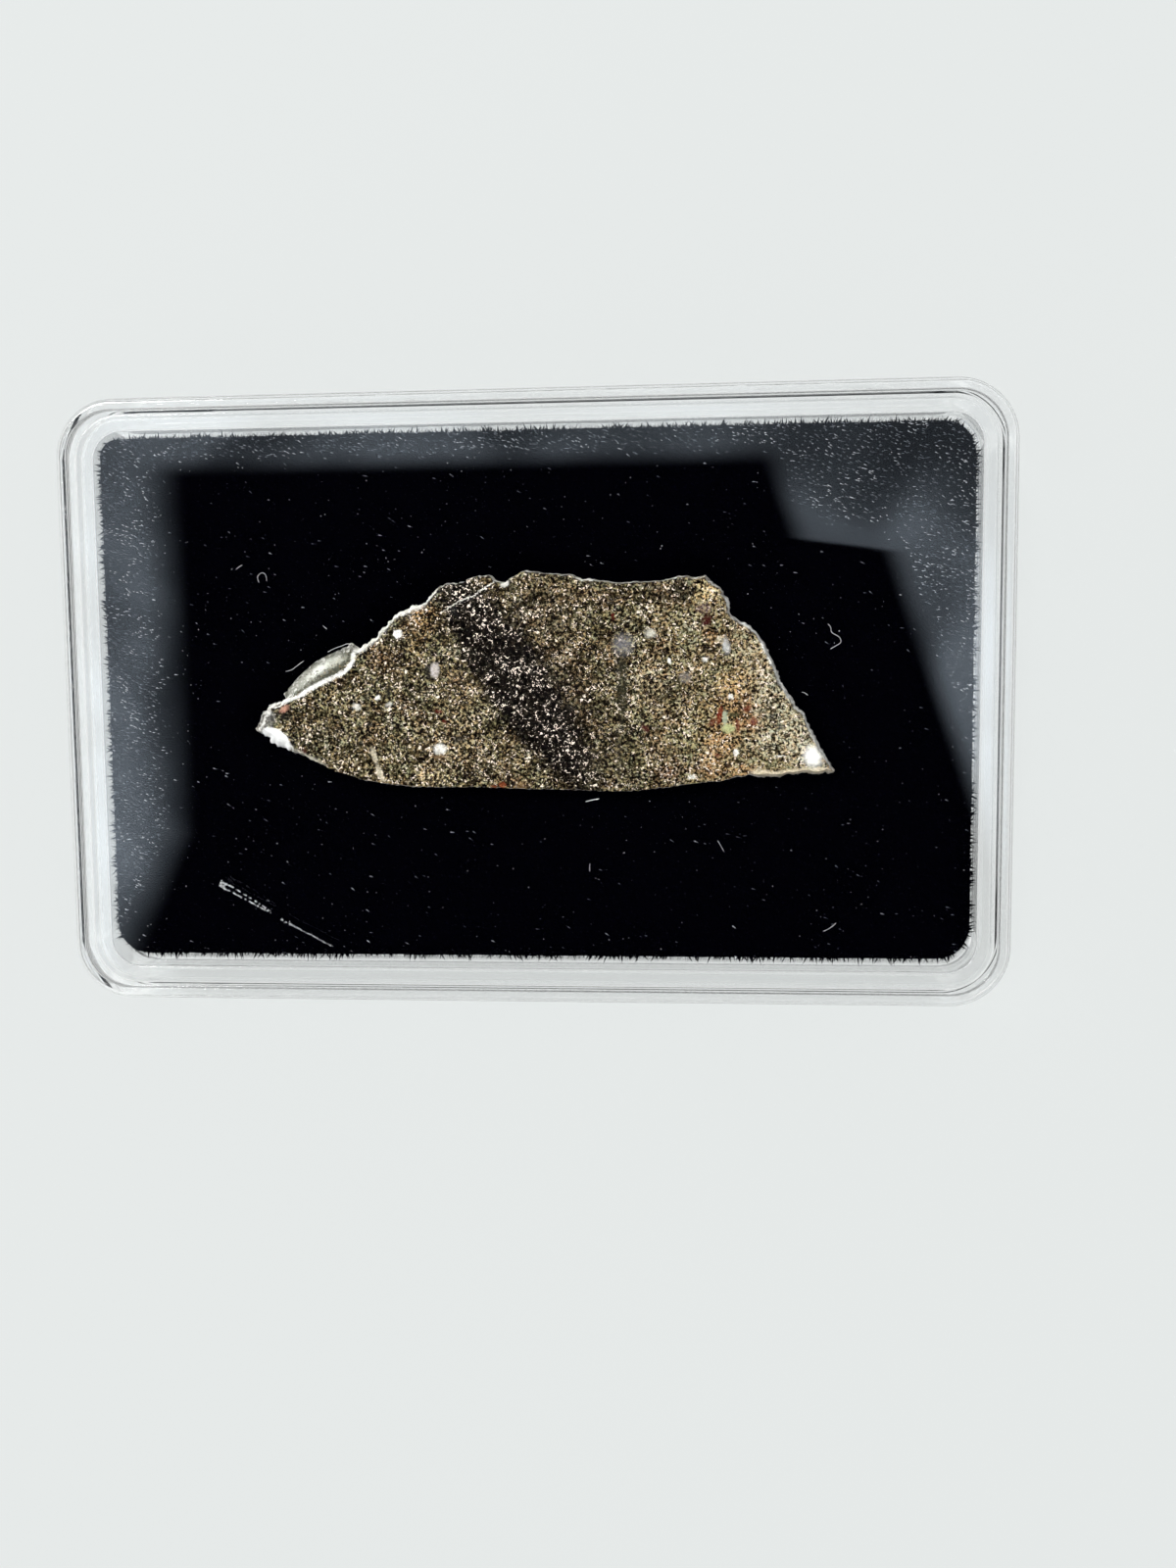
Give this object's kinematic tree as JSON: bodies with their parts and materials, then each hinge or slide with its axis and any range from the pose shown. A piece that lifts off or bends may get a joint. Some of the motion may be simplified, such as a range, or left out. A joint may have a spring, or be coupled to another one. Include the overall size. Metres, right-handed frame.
{
  "type": "lunar meteorite slice in a clear display case",
  "caption": "Thin polished slice of lunar breccia on a black flocked pad, held in a flat clear plastic case with round corners that lies on its back.",
  "frame": {"origin": "centre of the flat back face of the case", "axes": "+X along the long side, to the right as seen through the window; +Y along the short side; +Z out through the window"},
  "size_m": [0.064, 0.041, 0.008],
  "materials": {
    "clear_plastic": "clear, colourless and glossy, with fine scuffs on the raised rim and one long scratch on the window",
    "black_flock": "black short-fibre flock with specks of white lint",
    "lunar_breccia": "sawn and polished olive-grey breccia with fine pale and dark grains and a few white and rusty clasts"
  },
  "bodies": {
    "root": {"case_base": "clear_plastic", "case_lid": "clear_plastic", "backing_pad": "black_flock", "meteorite_slice": "lunar_breccia"}
  },
  "joints": []
}
